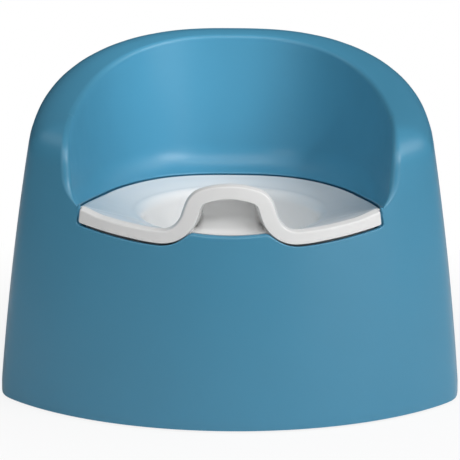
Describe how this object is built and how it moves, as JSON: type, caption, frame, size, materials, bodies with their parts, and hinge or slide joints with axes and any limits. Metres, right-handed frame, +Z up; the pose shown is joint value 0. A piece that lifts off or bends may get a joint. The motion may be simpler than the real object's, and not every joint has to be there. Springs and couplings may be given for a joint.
{
  "type": "potty training chair",
  "caption": "Toddler potty chair: bowed moulded shell with wrap-round backrest and arms, lift-out seat bowl with splash guard, base on rubber feet, and a sealed sound unit under the bowl.",
  "frame": {"origin": "on the floor under the middle of the chair's outer box", "axes": "+Z up, +Y toward the backrest, so the front faces -Y, +X to the viewer's right when facing the front"},
  "size_m": [0.3478, 0.336, 0.2541],
  "materials": {
    "shell_blue": "satin moulded polypropylene, fine grain",
    "bowl_white": "smooth semi-gloss white",
    "base_grey": "fine spark-eroded grain",
    "foot_rubber": "matt",
    "screw_steel": "zinc plated",
    "board_green": "solder mask",
    "dark_plastic": "moulded, matt",
    "capacitor_metal": "drawn can",
    "copper": "bare copper, slightly dull",
    "contact_brass": "turned",
    "contact_steel": "nickel plated sheet",
    "magnet_iron": "sintered, dark",
    "cone_paper": "pressed paper",
    "button_red": "satin",
    "knob_white": "satin",
    "cell_sleeve": "plain printed sleeve, bare of words"
  },
  "bodies": {
    "shell": {"outer_shell": "shell_blue", "base_plate": "base_grey", "foot_front_left": "foot_rubber", "foot_front_right": "foot_rubber", "foot_rear_left": "foot_rubber", "foot_rear_right": "foot_rubber", "base_screws": "screw_steel", "pod_cover": "base_grey", "pod_screws": "screw_steel", "circuit_board": "board_green", "board_screws": "screw_steel", "controller_chip": "dark_plastic", "board_capacitors": "capacitor_metal", "sensor_plate": "copper", "sensor_pin": "contact_brass", "speaker_frame": "contact_steel", "speaker_magnet": "magnet_iron", "speaker_cone": "cone_paper", "speaker_leads": "copper", "microphone": "capacitor_metal", "record_switch": "dark_plastic", "mode_switch_body": "dark_plastic", "battery_tray": "dark_plastic", "batteries": "cell_sleeve", "battery_contacts": "contact_steel", "battery_springs": "contact_steel"},
    "bowl": {"seat_bowl": "bowl_white"},
    "record_button": {"record_button": "button_red", "record_plunger": "bowl_white"},
    "mode_knob": {"mode_switch_knob": "knob_white"},
    "battery_door": {"battery_door": "base_grey", "door_seal": "foot_rubber", "door_screw": "screw_steel"}
  },
  "joints": [
    {"name": "bowl_lift", "type": "slide", "parent": "shell", "child": "bowl", "axis": [0, 0, 1], "range_m": [0, 0.23]},
    {"name": "record_press", "type": "slide", "parent": "shell", "child": "record_button", "axis": [0, 0, 1], "range_m": [0, 0.0008], "stiffness_N_per_m": 800, "springref_m": -0.0005},
    {"name": "mode_slide", "type": "slide", "parent": "shell", "child": "mode_knob", "axis": [1, 0, 0], "range_m": [0, 0.004]},
    {"name": "door_open", "type": "hinge", "parent": "shell", "child": "battery_door", "pos_m": [-0.03365, 0.004, 0.0051], "axis": [0, 1, 0], "range_deg": [0, 75]}
  ]
}
